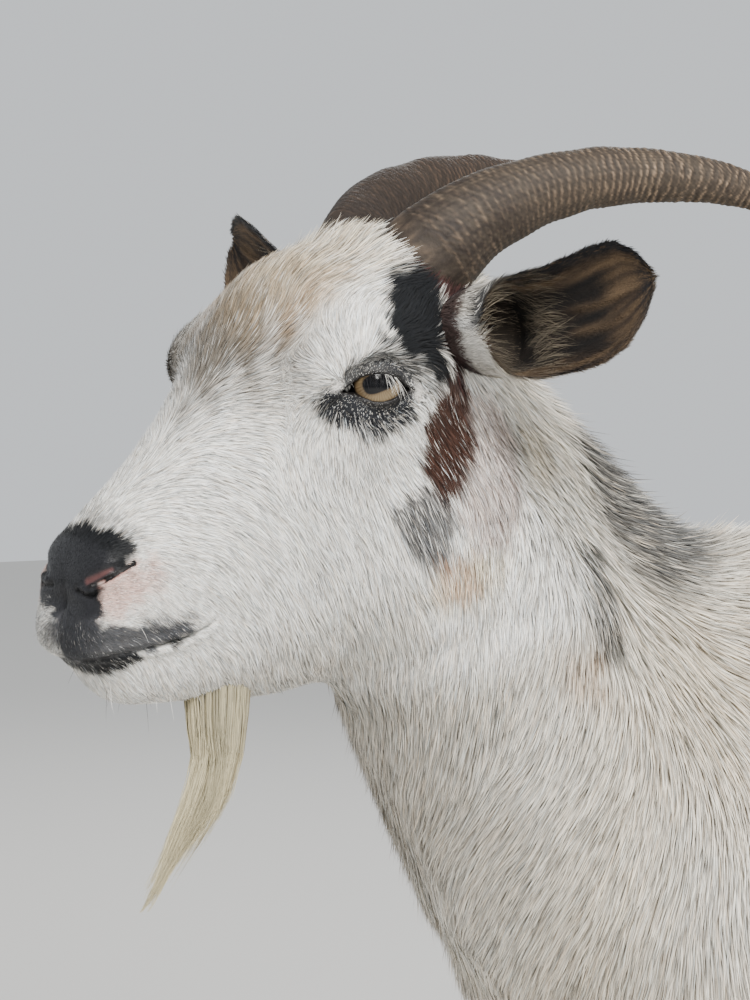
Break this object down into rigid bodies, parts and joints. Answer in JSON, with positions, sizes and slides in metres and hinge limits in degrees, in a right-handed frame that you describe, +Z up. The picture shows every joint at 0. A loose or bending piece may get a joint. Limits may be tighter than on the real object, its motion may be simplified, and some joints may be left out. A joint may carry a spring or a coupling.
{
  "type": "goat",
  "caption": "Small horned goat standing with its head raised, with a beard, ears held out to the sides, back-swept horns and a short coat: a still life-size figure",
  "frame": {"origin": "middle of the box round the goat, at floor level", "axes": "+Z up, the goat faces -Y, its left side is +X"},
  "size_m": [0.265, 0.87, 0.7485],
  "materials": {
    "hair": "short coat, white to cream with darker patches",
    "beard_hair": "long cream-yellow locks",
    "eye": "wet, amber with a level slot pupil",
    "horn": "ringed brown-grey horn",
    "hoof": "dark horn, worn matt"
  },
  "bodies": {
    "root": {"head": "hair", "neck": "hair", "trunk": "hair", "tail": "hair", "leg_front_left": "hair", "leg_front_right": "hair", "leg_hind_left": "hair", "leg_hind_right": "hair", "ear_left": "hair", "ear_right": "hair", "beard": "beard_hair", "eye_left": "eye", "eye_right": "eye", "horn_left": "horn", "horn_right": "horn", "claw_front_left_left": "hoof", "claw_front_left_right": "hoof", "claw_front_right_left": "hoof", "claw_front_right_right": "hoof", "claw_hind_left_left": "hoof", "claw_hind_left_right": "hoof", "claw_hind_right_left": "hoof", "claw_hind_right_right": "hoof", "dewclaw_front_left_left": "hoof", "dewclaw_front_left_right": "hoof", "dewclaw_front_right_left": "hoof", "dewclaw_front_right_right": "hoof", "dewclaw_hind_left_left": "hoof", "dewclaw_hind_left_right": "hoof", "dewclaw_hind_right_left": "hoof", "dewclaw_hind_right_right": "hoof"}
  },
  "joints": []
}
